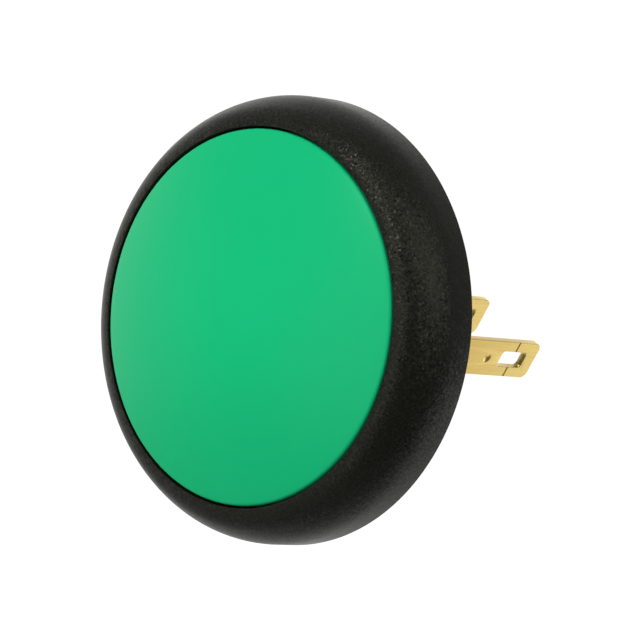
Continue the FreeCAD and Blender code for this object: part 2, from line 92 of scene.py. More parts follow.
def outline(corners, steps=4):
    """Points, in metres, of a closed outline of (radius, depth, fillet) corners in millimetres."""
    points = []
    count = len(corners)
    for i, (x, y, fillet) in enumerate(corners):
        here = Vector((x, y))
        if not fillet:
            points.append(here * MM)
            continue
        before = (Vector(corners[i - 1][:2]) - here).normalized()
        after = (Vector(corners[(i + 1) % count][:2]) - here).normalized()
        half = before.angle(after) / 2
        reach = fillet / math.tan(half)
        centre = here + (before + after).normalized() * (fillet / math.sin(half))
        rounded = arc(centre, fillet, here + before * reach, here + after * reach, steps)
        points += [Vector(p) * MM for p in rounded]
    return points


def plain(points):
    """Corners of an outline without fillets."""
    return [(x, y, 0) for x, y in points]


def new_piece(name, data):
    piece = bpy.data.objects.new(name, data)
    bpy.context.scene.collection.objects.link(piece)
    return piece


def smooth(mesh, sharp_angle=SHARP_ANGLE):
    mesh.polygons.foreach_set("use_smooth", [True] * len(mesh.polygons))
    mesh.set_sharp_from_angle(angle=math.radians(sharp_angle))


def finish_mesh(shape, name, sharp_angle=SHARP_ANGLE):
    """Turns a bmesh into a mesh with smooth faces, and sharp edges where its faces meet at an angle."""
    bmesh.ops.remove_doubles(shape, verts=shape.verts, dist=WELD_DISTANCE)
    bmesh.ops.dissolve_degenerate(shape, edges=shape.edges, dist=SLIVER_DISTANCE)
    bmesh.ops.recalc_face_normals(shape, faces=shape.faces)
    mesh = bpy.data.meshes.new(name)
    shape.to_mesh(mesh)
    shape.free()
    smooth(mesh, sharp_angle)
    return mesh


def lathe(name, rows, segments, form=ring_point, sharp_angle=SHARP_ANGLE):
    """Turns a closed outline of (radius, depth) about the axis of the button."""
    shape = bmesh.new()
    angles = [FULL_TURN * k / segments for k in range(segments)]
    rings = [[shape.verts.new(form(r, y, a)) for a in angles] for r, y in rows]
    for i, ring in enumerate(rings):
        last = rings[i - 1]
        for k in range(segments):
            shape.faces.new((last[k - 1], last[k], ring[k], ring[k - 1]))
    return new_piece(name, finish_mesh(shape, name, sharp_angle))


def tube(name, path, radius, sides):
    """Round wire along a helix: each section lies in the plane of the axis."""
    shape = bmesh.new()
    section = [FULL_TURN * k / sides for k in range(sides)]
    rings = []
    for centre, angle in path:
        outwards = ring_point(1, 0, angle)
        around = [centre + (outwards * math.cos(a) + AXIS * math.sin(a)) * radius for a in section]
        rings.append([shape.verts.new(point) for point in around])
    for last, ring in zip(rings, rings[1:]):
        for k in range(sides):
            shape.faces.new((last[k - 1], last[k], ring[k], ring[k - 1]))
    shape.faces.new(rings[0])
    shape.faces.new(rings[-1])
    return new_piece(name, finish_mesh(shape, name))


def extrude(shape, edge, reach, turn=Matrix.Identity(3)):
    """Adds a bar to a bmesh: an outline in x and y that reaches as far to -z as to +z, then turned."""
    sides = [[shape.verts.new(turn @ Vector((x, y, z)) * MM) for x, y in edge] for z in (-reach, reach)]
    shape.faces.new(sides[0])
    shape.faces.new(sides[1])
    for i in range(len(edge)):
        shape.faces.new((sides[0][i - 1], sides[0][i], sides[1][i], sides[1][i - 1]))


def cone(name, sides, start_radius, end_radius, length, place):
    """A cone, or a straight drill, moved to its place."""
    shape = bmesh.new()
    bmesh.ops.create_cone(
        shape, cap_ends=True, segments=sides,
        radius1=start_radius * MM, radius2=end_radius * MM, depth=length * MM,
    )
    piece = new_piece(name, finish_mesh(shape, name))
    piece.data.transform(place)
    return piece


def boxes(name, corners):
    """One mesh of boxes, each from its lowest to its highest corner."""
    shape = bmesh.new()
    for lowest, highest in corners:
        made = bmesh.ops.create_cube(shape, size=1)
        for vert in made["verts"]:
            shares = [c + 0.5 for c in vert.co]
            vert.co = Vector(low + (high - low) * s for low, high, s in zip(lowest, highest, shares))
    return new_piece(name, finish_mesh(shape, name))


def evaluated(piece):
    graph = bpy.context.evaluated_depsgraph_get()
    return bpy.data.meshes.new_from_object(piece.evaluated_get(graph))


def combine(piece, tool, operation):
    """Cuts a tool out of a piece, or joins it on, and deletes the tool."""
    step = piece.modifiers.new(operation.lower(), "BOOLEAN")
    step.operation = operation
    step.solver = "EXACT"
    step.object = tool
    mesh = evaluated(piece)
    piece.modifiers.clear()
    piece.data = mesh
    smooth(mesh)
    bpy.data.objects.remove(tool)


# Fillets of the turned pieces
EDGE = 0.1
FINE_EDGE = 0.05
LIP_EDGE = 0.06
FOOT_EDGE = 0.12
CAP_EDGE = 0.3
BASE_EDGE = 0.15
RIM_EDGE = 0.08
ROUND_SEGMENTS = 240
BASE_SEGMENTS = 144


# Housing: bezel with a straight foot, a large side arc and a smaller nose arc, round a well

WELL_RADIUS = 12.65
BEZEL_RADIUS = 15.0
NOSE_CENTRE = (12.475, -3.3)
NOSE_RADIUS = 2.0
NOSE_STEPS = 14
LIP = (12.65, -5.2923)
SHOULDER = (14.093, -4.4756)
SIDE_CENTRE = (10.25, -1.6836)
SIDE_RADIUS = 4.75
SIDE_STEPS = 16
MOAT_FLOOR = -1.5
WELL_FLOOR = -2.3
PLATEAU_RADIUS = 10.8
GROOVE_INNER = 9.0
GROOVE_OUTER = 11.0
GROOVE_FLOOR = -1.0
LEDGE = -1.5
BUSHING_RADIUS = 6.0
COLLAR_RADIUS = 6.4
FLANGE_RADIUS = 7.5
FIT = 0.02


def make_housing():
    nose = arc(NOSE_CENTRE, NOSE_RADIUS, LIP, SHOULDER, NOSE_STEPS)
    side = arc(SIDE_CENTRE, SIDE_RADIUS, SHOULDER, (BEZEL_RADIUS, SIDE_CENTRE[1]), SIDE_STEPS)
    corners = [
        (*LIP, LIP_EDGE),
        *plain(nose[1:-1]),
        *plain(side),
        (BEZEL_RADIUS, 0, FOOT_EDGE),
        (GROOVE_OUTER, 0, EDGE),
        (GROOVE_OUTER, GROOVE_FLOOR, EDGE),
        (GROOVE_INNER, GROOVE_FLOOR, EDGE),
        (GROOVE_INNER, 0, EDGE),
        (COLLAR_RADIUS + FIT, 0, FINE_EDGE),
        (COLLAR_RADIUS + FIT, LEDGE, 0),
        (FLANGE_RADIUS + FIT, LEDGE, 0),
        (FLANGE_RADIUS + FIT, WELL_FLOOR, 0),
        (PLATEAU_RADIUS, WELL_FLOOR, EDGE),
        (PLATEAU_RADIUS, MOAT_FLOOR, EDGE),
        (WELL_RADIUS, MOAT_FLOOR, EDGE),
    ]
    return lathe("bezel_housing", outline(corners), ROUND_SEGMENTS)


# Bushing: a flanged tube with a fine right-handed thread

THREAD_PITCH = 1.0 * MM
THREAD_DEPTH = 0.58 * MM
THREAD_START = 0.35
THREAD_RUNOUT = 1.3
THREAD_ROWS_A_PITCH = 20
THREAD_SHARP_ANGLE = 50
CREST_SHARE = 0.14
ROOT_SHARE = 0.78
BUSHING_END = 9.5
BUSHING_CHAMFER = 0.7
GUIDE_RADIUS = 3.05
CHAMBER_RADIUS = 4.05
CAVITY_RADIUS = 4.6
GUIDE_END = -0.3
CHAMBER_END = 0.9


def ease(low, high, value):
    share = min(1.0, max(0.0, (value - low) / (high - low)))
    return share * share * (3 - 2 * share)


def thread_point(radius, depth, angle):
    """Point of the bushing, with the thread cut into its outside."""
    threaded = THREAD_START * MM < depth and radius > (BUSHING_RADIUS - BUSHING_CHAMFER - FIT) * MM
    if threaded:
        phase = (depth / THREAD_PITCH - angle / FULL_TURN) % 1.0
        from_crest = abs(phase - 0.5) * 2
        cut = ease(CREST_SHARE, ROOT_SHARE, from_crest)
        fade = ease(THREAD_START * MM, THREAD_RUNOUT * MM, depth)
        radius = min(radius, BUSHING_RADIUS * MM - THREAD_DEPTH * cut * fade)
    return ring_point(radius, depth, angle)


def make_bushing():
    chamfer_start = BUSHING_END - BUSHING_CHAMFER
    row_gap = THREAD_PITCH / MM / THREAD_ROWS_A_PITCH
    straight = int((chamfer_start - THREAD_START) / row_gap)
    sloped = int(BUSHING_CHAMFER / row_gap)
    thread = [(BUSHING_RADIUS, THREAD_START + row_gap * i) for i in range(straight + 1)]
    slopes = [BUSHING_CHAMFER * i / sloped for i in range(1, sloped + 1)]
    chamfer = [(BUSHING_RADIUS - slope, chamfer_start + slope) for slope in slopes]
    corners = [
        (GUIDE_RADIUS, WELL_FLOOR, EDGE),
        (FLANGE_RADIUS, WELL_FLOOR, EDGE),
        (FLANGE_RADIUS, LEDGE, 0),
        (COLLAR_RADIUS, LEDGE, 0),
        (COLLAR_RADIUS, 0, FINE_EDGE),
        (BUSHING_RADIUS, 0, 0),
        *plain(thread),
        *plain(chamfer),
        (CAVITY_RADIUS, BUSHING_END, FINE_EDGE),
        (CAVITY_RADIUS, CHAMBER_END, 0),
        (CHAMBER_RADIUS, CHAMBER_END, 0),
        (CHAMBER_RADIUS, GUIDE_END, 0),
        (GUIDE_RADIUS, GUIDE_END, 0),
    ]
    return lathe("threaded_bushing", outline(corners), ROUND_SEGMENTS, thread_point, THREAD_SHARP_ANGLE)


# Button cap: a shallow dome with a skirt, a boss for the plunger and ribs

CAP_RADIUS = 12.5
RIM = -5.3
APEX = -7.5
DOME_RADIUS = 36.6136
DOME_CENTRE = APEX + DOME_RADIUS
DOME_ROWS = 40
CAP_FILLET_STEPS = 6
# The dome's rows end this far from the rim, where the fillet takes over
RIM_MARGIN = 0.6
CAP_WALL = 1.4
CEILING_ROWS = 12
SKIRT_END = -3.3
SKIRT_RADIUS = 11.3
BOSS_RADIUS = 3.8
BOSS_END = -4.1
SOCKET_RADIUS = 2.22
SOCKET_FLOOR = -6.15
RIB_COUNT = 6
RIB_ROWS = 8
RIB_END = -4.4
RIB_REACH = 9.5
RIB_HALF = 0.45


def dome_depth(radius, under=0.0):
    """Depth of the dome at a radius, so far under its outer face."""
    return DOME_CENTRE - math.sqrt((DOME_RADIUS - under) ** 2 - radius ** 2)


def make_ribs():
    """The ribs under the dome, from the boss outwards, sunk halfway into the cap's wall."""
    shape = bmesh.new()
    start = (BOSS_RADIUS + SOCKET_RADIUS) / 2
    radii = [start + (RIB_REACH - start) * i / RIB_ROWS for i in range(RIB_ROWS + 1)]
    edge = [(r, dome_depth(r, CAP_WALL / 2)) for r in radii] + [(RIB_REACH, RIB_END), (start, RIB_END)]
    for k in range(RIB_COUNT):
        extrude(shape, edge, RIB_HALF, Matrix.Rotation(FULL_TURN * k / RIB_COUNT, 3, AXIS))
    return new_piece("ribs", finish_mesh(shape, "ribs"))


def make_cap():
    dome = [(CAP_RADIUS - RIM_MARGIN) * i / DOME_ROWS for i in range(DOME_ROWS + 1)]
    ceiling_width = SKIRT_RADIUS - BOSS_RADIUS
    ceiling = [SKIRT_RADIUS - ceiling_width * i / CEILING_ROWS for i in range(CEILING_ROWS + 1)]
    corners = [
        *[(r, dome_depth(r), 0) for r in dome],
        (CAP_RADIUS, RIM, CAP_EDGE),
        (CAP_RADIUS, SKIRT_END, EDGE),
        (SKIRT_RADIUS, SKIRT_END, EDGE),
        *[(r, dome_depth(r, CAP_WALL), 0) for r in ceiling],
        (BOSS_RADIUS, BOSS_END, EDGE),
        (SOCKET_RADIUS, BOSS_END, EDGE),
        (SOCKET_RADIUS, SOCKET_FLOOR, 0),
        (0, SOCKET_FLOOR, 0),
    ]
    cap = lathe("domed_cap", outline(corners, CAP_FILLET_STEPS), ROUND_SEGMENTS)
    combine(cap, make_ribs(), "UNION")
    return cap


# Terminals: a stamped blade with rounded tip corners, an eye, score lines and a dimple, on a bent foot

BLADE_THICKNESS = 0.5
BLADE_BEVEL = 0.02
BLADE_BEVEL_STEPS = 2
BLADE_SHARP_ANGLE = 15
BLADE_FILLET_STEPS = 8
TIP_RADIUS = 0.5
EYE_HALF_WIDTH = 0.625
EYE_MARGIN = 1.1
EYE_LENGTH = 2.6
EYE_CORNER = 0.25
SCORE_HALF_WIDTH = 0.08
SCORE_DEPTH = 0.07
SCORE_OVERHANG = 1
SCORE_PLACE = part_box("terminal_right")[1].y / MM - EYE_MARGIN - EYE_LENGTH / 2
DIMPLE_SETBACK = 5.1
DIMPLE_RADIUS = 0.35
DIMPLE_DEPTH = 0.1
DIMPLE_FLAT = 0.04
DIMPLE_SIDES = 40
FOOT_END = 1.4
FOOT_OVERLAP = 0.1
BEND_STEPS = 8
RIVET_OFFSET = 2.1
RIVET_HOLE = 0.32
RIVET_SIDES = 24
DRILL_LENGTH = 3


def rounded_rectangle(half_width, low, high, radii):
    """Outline in metres, with a fillet each at the low right, high right, high left and low left."""
    sides = ((half_width, low), (half_width, high), (-half_width, high), (-half_width, low))
    return outline([(x, y, r) for (x, y), r in zip(sides, radii)], BLADE_FILLET_STEPS)


def punched_sheet(name, edges):
    """Mesh of a flat sheet with softened edges, from its own outline and that of its eye."""
    flat = bpy.data.curves.new(name, "CURVE")
    flat.dimensions = "2D"
    flat.fill_mode = "BOTH"
    flat.extrude = (BLADE_THICKNESS / 2 - BLADE_BEVEL) * MM
    flat.bevel_depth = BLADE_BEVEL * MM
    flat.bevel_resolution = BLADE_BEVEL_STEPS
    flat.offset = -BLADE_BEVEL * MM
    for edge in edges:
        spline = flat.splines.new("POLY")
        spline.points.add(len(edge) - 1)
        for point, corner in zip(spline.points, edge):
            point.co = (*corner, 0, 1)
        spline.use_cyclic_u = True
    drawn = new_piece(name + "_flat", flat)
    mesh = evaluated(drawn)
    bpy.data.objects.remove(drawn)
    return mesh


def make_foot(inner, outer, front, back, half_width):
    """The foot under the contact and the bend into the blade, with the hole for the rivet."""
    bend = arc((inner, back), back - front, (inner, front), (outer, back), BEND_STEPS)
    edge = [
        (FOOT_END, front),
        *bend,
        (outer, back + FOOT_OVERLAP),
        (inner, back + FOOT_OVERLAP),
        (inner, back),
        (FOOT_END, back),
    ]
    shape = bmesh.new()
    extrude(shape, edge, half_width)
    foot = new_piece("foot", finish_mesh(shape, "foot"))
    place = Matrix.Translation((RIVET_OFFSET * MM, front * MM, 0)) @ Matrix.Rotation(math.pi / 2, 4, "X")
    drill = cone("drill", RIVET_SIDES, RIVET_HOLE, RIVET_HOLE, DRILL_LENGTH, place)
    combine(foot, drill, "DIFFERENCE")
    return foot


def make_score(face, sign, middle, half_width):
    """A three-cornered bar that cuts one score line across a face of the blade."""
    lift = SCORE_DEPTH
    slope = SCORE_HALF_WIDTH * (SCORE_DEPTH + lift) / SCORE_DEPTH
    above = face - sign * lift
    edge = [(above, middle - slope), (above, middle + slope), (face + sign * SCORE_DEPTH, middle)]
    shape = bmesh.new()
    extrude(shape, edge, half_width + SCORE_OVERHANG)
    return new_piece("score", finish_mesh(shape, "score"))


def make_dimple(face, depth):
    """A cone that sinks the round dimple in the outer face of the blade."""
    wide = 2 * DIMPLE_RADIUS - DIMPLE_FLAT
    place = Matrix.Translation((face * MM, depth * MM, 0)) @ Matrix.Rotation(math.pi / 2, 4, "Y")
    return cone("dimple", DIMPLE_SIDES, DIMPLE_FLAT, wide, 2 * DIMPLE_DEPTH, place)


def make_terminal(name, node):
    """A terminal, made as the right one; the left one is then turned half round."""
    low, high = (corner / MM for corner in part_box(node))
    outer = max(abs(low.x), abs(high.x))
    inner = outer - BLADE_THICKNESS
    half_width = high.z
    tip = high.y
    foot_front = low.y
    foot_back = foot_front + BLADE_THICKNESS
    eye_high = tip - EYE_MARGIN
    eye_low = eye_high - EYE_LENGTH
    outer_edge = rounded_rectangle(half_width, foot_back, tip, (0, TIP_RADIUS, TIP_RADIUS, 0))
    eye_edge = rounded_rectangle(EYE_HALF_WIDTH, eye_low, eye_high, (EYE_CORNER,) * 4)
    mesh = punched_sheet(name, (outer_edge, eye_edge))
    # The flat's x runs across the blade, its y along it, and its z through the sheet
    middle = (inner + outer) / 2 * MM
    mesh.transform(Matrix(((0, 0, 1, middle), (0, 1, 0, 0), (-1, 0, 0, 0), (0, 0, 0, 1))))
    shape = bmesh.new()
    shape.from_mesh(mesh)
    blade = new_piece(name, finish_mesh(shape, name))
    combine(blade, make_foot(inner, outer, foot_front, foot_back, half_width), "UNION")
    eye_middle = (eye_low + eye_high) / 2
    for face, sign in ((outer, -1), (inner, 1)):
        combine(blade, make_score(face, sign, eye_middle, half_width), "DIFFERENCE")
    combine(blade, make_dimple(outer, tip - DIMPLE_SETBACK), "DIFFERENCE")
    if high.x < 0:
        blade.data.transform(Matrix.Rotation(math.pi, 4, AXIS))
    smooth(blade.data, BLADE_SHARP_ANGLE)
    return blade


# Gasket, base, sealing compound and springs

GASKET_STEPS = 28
PLUG_RADIUS = 4.58
POCKET_RADIUS = 1.15
POCKET_END = 7.97
BASE_FLANGE_RADIUS = 5.3
BASE_FLANGE_FRONT = 9.5
BASE_FLANGE_BACK = 10.2
TAIL_RADIUS = 4.7
TAIL_END = 11.2
RECESS_RADIUS = 3.9
RECESS_FLOOR = 10.0
SLOT_GAP = 0.02
SLOT_FRONT = 5
SLOT_BACK = 15
MENISCUS = 0.14
CREEP_REACH = 0.35
EPOXY_RIPPLE = 0.02
EPOXY_RIPPLE_RATE = 2.2
EPOXY_STEPS = 24
STEPS_A_TURN = 72
WIRE_SIDES = 16


def make_gasket():
    low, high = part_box("panel_gasket")
    section = (high.y - low.y) / 2
    mean = high.x - section
    middle = (low.y + high.y) / 2
    turns = [FULL_TURN * k / GASKET_STEPS for k in range(GASKET_STEPS)]
    rows = [(mean + section * math.cos(a), middle + section * math.sin(a)) for a in turns]
    return lathe("rubber_gasket", rows, ROUND_SEGMENTS)


def make_slots():
    """Bars through the base where the two blades pass."""
    places = []
    for node in ("terminal_left", "terminal_right"):
        low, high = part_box(node)
        outer = max(abs(low.x), abs(high.x))
        sign = 1 if high.x > 0 else -1
        inner = outer - (BLADE_THICKNESS + SLOT_GAP) * MM
        edges = sorted((sign * (outer + SLOT_GAP * MM), sign * inner))
        reach = high.z + SLOT_GAP * MM
        places.append(((edges[0], SLOT_FRONT * MM, -reach), (edges[1], SLOT_BACK * MM, reach)))
    return boxes("slots", places)


def make_base():
    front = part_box("terminal_base")[0].y / MM
    corners = [
        (0, POCKET_END, 0),
        (POCKET_RADIUS, POCKET_END, 0),
        (POCKET_RADIUS, front, EDGE),
        (PLUG_RADIUS, front, BASE_EDGE),
        (PLUG_RADIUS, BASE_FLANGE_FRONT, 0),
        (BASE_FLANGE_RADIUS, BASE_FLANGE_FRONT, RIM_EDGE),
        (BASE_FLANGE_RADIUS, BASE_FLANGE_BACK, BASE_EDGE),
        (TAIL_RADIUS, BASE_FLANGE_BACK, EDGE),
        (TAIL_RADIUS, TAIL_END, BASE_EDGE),
        (RECESS_RADIUS, TAIL_END, RIM_EDGE),
        (RECESS_RADIUS, RECESS_FLOOR, 0),
        (0, RECESS_FLOOR, 0),
    ]
    base = lathe("moulded_base", outline(corners), BASE_SEGMENTS)
    combine(base, make_slots(), "DIFFERENCE")
    return base


def make_epoxy():
    """The poured compound: its face sinks a little in the middle and creeps up at the rim."""
    low, high = (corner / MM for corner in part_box("epoxy_seal"))
    radius = high.x
    face = []
    for i in range(EPOXY_STEPS + 1):
        r = radius * (1 - i / EPOXY_STEPS)
        creep = math.exp((r - radius) / CREEP_REACH)
        ripple = EPOXY_RIPPLE * math.cos(r * EPOXY_RIPPLE_RATE)
        face.append((r, high.y - MENISCUS * (1 - creep) - EPOXY_RIPPLE + ripple * (1 - creep)))
    corners = [(0, low.y, 0), (radius, low.y, 0), *plain(face)]
    compound = lathe("poured_epoxy", outline(corners), BASE_SEGMENTS)
    combine(compound, make_slots(), "DIFFERENCE")
    return compound


def make_spring(name, node, wire, turns):
    low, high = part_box(node)
    radius = wire * MM / 2
    mean = high.x - radius
    steps = round(turns * STEPS_A_TURN)
    path = []
    for i in range(steps + 1):
        share = i / steps
        angle = math.pi / 2 + FULL_TURN * turns * share
        depth = low.y + radius + (high.y - low.y - 2 * radius) * share
        path.append((ring_point(mean, depth, angle), angle))
    return tube(name, path, radius, WIRE_SIDES)


# Materials: every colour varies a little and every surface has its own grain

# Share of a band's half width that is wholly inside it
BAND_CORE = 0.6
# A face looks sideways when its normal's x is past this
SIDEWAYS = 0.5


class Nodes:
    """The nodes of a shader, each added by a short call."""

    def __init__(self, tree):
        self.tree = tree

    def add(self, kind, **sockets):
        node = self.tree.nodes.new(kind)
        for socket, value in sockets.items():
            self.put(node.inputs[socket.replace("_", " ")], value)
        return node

    def put(self, socket, value):
        """Links another node's socket, or sets a constant."""
        if isinstance(value, bpy.types.NodeSocket):
            self.tree.links.new(value, socket)
        else:
            socket.default_value = value

    def spread(self, source, low, high, source_low=0.3, source_high=0.7, interpolation="LINEAR"):
        """A value taken from one pair of limits to another, and no further."""
        node = self.add(
            "ShaderNodeMapRange", Value=source,
            From_Min=source_low, From_Max=source_high, To_Min=low, To_Max=high,
        )
        node.interpolation_type = interpolation
        return node.outputs["Result"]

    def maths(self, operation, first, second=0.0):
        node = self.add("ShaderNodeMath")
        node.operation = operation
        self.put(node.inputs[0], first)
        self.put(node.inputs[1], second)
        return node.outputs[0]

    def vectors(self, operation, *values):
        node = self.add("ShaderNodeVectorMath")
        node.operation = operation
        for socket, value in zip(node.inputs, values):
            self.put(socket, value)
        return node


class Recipe(Nodes):
    """A material in the making: its shader and the object's coordinates."""

    def __init__(self, name, **fixed):
        self.material = bpy.data.materials.new(name)
        self.material.use_nodes = True
        super().__init__(self.material.node_tree)
        self.shader = self.tree.nodes["Principled BSDF"]
        self.coords = self.add("ShaderNodeTexCoord").outputs["Object"]
        for socket, value in fixed.items():
            self.shader.inputs[socket.replace("_", " ")].default_value = value

    def stretched(self, scale):
        """The object's coordinates, scaled differently along each axis."""
        node = self.add("ShaderNodeMapping", Vector=self.coords, Scale=scale)
        return node.outputs["Vector"]

    def noise(self, scale, detail=2.0, rough=0.5, coords=None):
        place = coords or self.coords
        node = self.add("ShaderNodeTexNoise", Vector=place, Scale=scale, Detail=detail, Roughness=rough)
        return node.outputs["Fac"]

    def depth(self):
        return self.add("ShaderNodeSeparateXYZ", Vector=self.coords).outputs["Y"]

    def radius(self):
        """Distance from the axis of the button."""
        return self.vectors("LENGTH", self.stretched((1, 0, 1))).outputs["Value"]

    def band(self, place, half_width):
        """1 within a band across the axis of the button, on faces that look sideways, and 0 elsewhere."""
        away = self.maths("ABSOLUTE", self.maths("SUBTRACT", self.depth(), place))
        within = self.spread(away, 1, 0, BAND_CORE * half_width, half_width)
        normal = self.add("ShaderNodeNewGeometry").outputs["True Normal"]
        across = self.maths("ABSOLUTE", self.add("ShaderNodeSeparateXYZ", Vector=normal).outputs["X"])
        return self.maths("MULTIPLY", within, self.maths("GREATER_THAN", across, SIDEWAYS))

    def mixed(self, share, first, second):
        node = self.add("ShaderNodeMix")
        node.data_type = "RGBA"
        self.put(node.inputs["Factor"], share)
        colours = [s for s in node.inputs if s.type == "RGBA"]
        self.put(colours[0], first)
        self.put(colours[1], second)
        return next(s for s in node.outputs if s.type == "RGBA")

    def facets(self, scale, tilt, share):
        """The normal, tipped at random in each grain by a share of the tilt, and the grain's own number."""
        grain = self.add("ShaderNodeTexVoronoi", Vector=self.coords, Scale=scale).outputs["Color"]
        normal = self.add("ShaderNodeNewGeometry").outputs["Normal"]
        tip = self.vectors("MULTIPLY_ADD", grain, (2 * tilt,) * 3, (-tilt,) * 3).outputs["Vector"]
        total = self.vectors("MULTIPLY_ADD", tip, share, normal).outputs["Vector"]
        own = self.add("ShaderNodeTexWhiteNoise", Vector=grain).outputs["Value"]
        return self.vectors("NORMALIZE", total).outputs["Vector"], own

    def bump(self, height, distance, strength=1.0, normal=None):
        node = self.add("ShaderNodeBump", Height=height, Distance=distance, Strength=strength)
        if normal is not None:
            self.put(node.inputs["Normal"], normal)
        return node.outputs["Normal"]

    def finish(self, tone, roughness, normal):
        self.put(self.shader.inputs["Base Color"], tone)
        self.put(self.shader.inputs["Roughness"], roughness)
        self.put(self.shader.inputs["Normal"], normal)
        return self.material


def colour(red, green, blue):
    return (red, green, blue, 1.0)


def black_plastic():
    """Moulded black plastic with a spark-eroded grain, its lighter flecks partly the grain's own colour and
    partly painted glints. Its grains are tipped and some of them shine, and both fade where the surface
    turns away."""
    made = Recipe("black_plastic", IOR=1.5, Specular_IOR_Level=0.16, Specular_Tint=(1.0, 1.0, 0.8, 1.0))
    clumps = made.noise(2600, detail=3, rough=0.6)
    grain = made.noise(6800, detail=4, rough=0.65)
    drift = made.spread(made.noise(160, detail=2), 0, 1)
    tone = made.mixed(drift, colour(0.0056, 0.0058, 0.0044), colour(0.0074, 0.0076, 0.0058))
    # The lighter flecks are partly the grain's own colour and partly painted glints.
    flecks_and_painted_glints = made.mixed(made.spread(grain, 0, 1, 0.56, 0.72), tone, colour(0.016, 0.016, 0.013))
    turned_away = made.add("ShaderNodeLayerWeight").outputs["Facing"]
    facets, own = made.facets(scale=9000, tilt=0.18, share=made.spread(turned_away, 1, 0.2, 0.2, 0.6))
    facing = made.spread(turned_away, 1, 0, 0.2, 0.45)
    shiny = made.maths("MULTIPLY", facing, made.spread(own, 0, 1, 0.55, 0.85))
    rough = made.spread(shiny, 0.45, 0.15, 0, 1)
    coarse = made.bump(clumps, distance=0.00006, strength=0.25, normal=facets)
    fine = made.bump(grain, distance=0.00005, strength=0.25, normal=coarse)
    return made.finish(flecks_and_painted_glints, rough, fine)


def green_plastic():
    """Satin green plastic with painted shade that deepens it towards the rim, a faint orange-peel and a
    fine grain.
    """
    made = Recipe("green_plastic", IOR=1.48, Specular_IOR_Level=0.075)
    fine = made.noise(5200, detail=3, rough=0.6)
    drift = made.spread(made.noise(90, detail=2), 0, 1)
    tone = made.mixed(drift, colour(0.0062, 0.52, 0.196), colour(0.0072, 0.543, 0.208))
    # Painted shade: the colour darkens from the middle of the cap out to its rim.
    outwards = made.spread(made.radius(), 0, 1, 0.002, 0.0125)
    painted_shade_tone = made.mixed(outwards, tone, colour(0.0062, 0.49, 0.189))
    rough = made.spread(fine, 0.3, 0.36)
    peel = made.bump(made.noise(700, detail=2), distance=0.00001, strength=0.25)
    return made.finish(painted_shade_tone, rough, made.bump(fine, distance=0.000008, strength=0.35, normal=peel))


def gold_plate():
    """Gold plating on rolled and stamped strip: faint rolling lines along it, uneven tints, painted shade
    that deepens it towards the base, and a brighter colour in the score lines."""
    made = Recipe("gold_plate", Metallic=1.0)
    rolled = made.noise(1.0, detail=3, coords=made.stretched((9000, 260, 9000)))
    tint = made.spread(made.noise(420, detail=3, rough=0.6), 0, 1)
    warm = made.mixed(tint, colour(0.72, 0.535, 0.157), colour(0.757, 0.587, 0.198))
    patches = made.spread(made.noise(900, detail=1), 0, 0.35, 0.5, 0.75)
    blush = made.mixed(patches, warm, colour(0.757, 0.507, 0.175))
    # Painted shade: the colour darkens towards the base of the blade, near the body.
    base_shade_share = made.spread(made.depth(), 1, 0, 0.014, 0.021)
    painted_shade_tone = made.mixed(base_shade_share, blush, colour(0.63, 0.452, 0.13))
    score = made.band(SCORE_PLACE * MM, SCORE_HALF_WIDTH * MM)
    scored = made.mixed(score, painted_shade_tone, colour(0.85, 0.58, 0.15))
    rough = made.spread(rolled, 0.24, 0.38)
    return made.finish(scored, rough, made.bump(rolled, distance=0.000004, strength=0.5))


def seal_rubber():
    made = Recipe("seal_rubber", IOR=1.5)
    dust = made.noise(1400, detail=4, rough=0.65)
    dusty = made.spread(dust, 0, 1, 0.45, 0.75)
    tone = made.mixed(dusty, colour(0.012, 0.012, 0.012), colour(0.026, 0.026, 0.025))
    rough = made.spread(dust, 0.5, 0.66)
    return made.finish(tone, rough, made.bump(made.noise(5200, detail=2), distance=0.00001, strength=0.5))


def base_plastic():
    made = Recipe("base_plastic", IOR=1.5)
    flow = made.noise(600, detail=3)
    tone = made.mixed(made.spread(flow, 0, 1), colour(0.02, 0.02, 0.021), colour(0.032, 0.032, 0.034))
    rough = made.spread(flow, 0.4, 0.52)
    return made.finish(tone, rough, made.bump(made.noise(4200, detail=3), distance=0.000012, strength=0.5))


def epoxy():
    made = Recipe("epoxy", IOR=1.55)
    cloud = made.noise(900, detail=4, rough=0.6)
    tone = made.mixed(made.spread(cloud, 0, 1), colour(0.03, 0.02, 0.014), colour(0.06, 0.042, 0.03))
    rough = made.spread(cloud, 0.12, 0.22)
    return made.finish(tone, rough, made.bump(made.noise(1500, detail=2), distance=0.00002, strength=0.4))


def white_plastic():
    made = Recipe("white_plastic", IOR=1.48)
    flow = made.noise(800, detail=3)
    tone = made.mixed(made.spread(flow, 0, 1), colour(0.74, 0.73, 0.68), colour(0.8, 0.79, 0.74))
    rough = made.spread(flow, 0.38, 0.48)
    return made.finish(tone, rough, made.bump(made.noise(5000, detail=2), distance=0.00001, strength=0.4))


def bright_metal(name, dark, light, low, high, scale):
    """Plated or drawn metal with fine marks that break up its reflections."""
    made = Recipe(name, Metallic=1.0)
    marks = made.noise(scale, detail=4, rough=0.6)
    tone = made.mixed(made.spread(marks, 0, 1), dark, light)
    rough = made.spread(marks, low, high)
    return made.finish(tone, rough, made.bump(marks, distance=0.000005, strength=0.4))


# Pieces

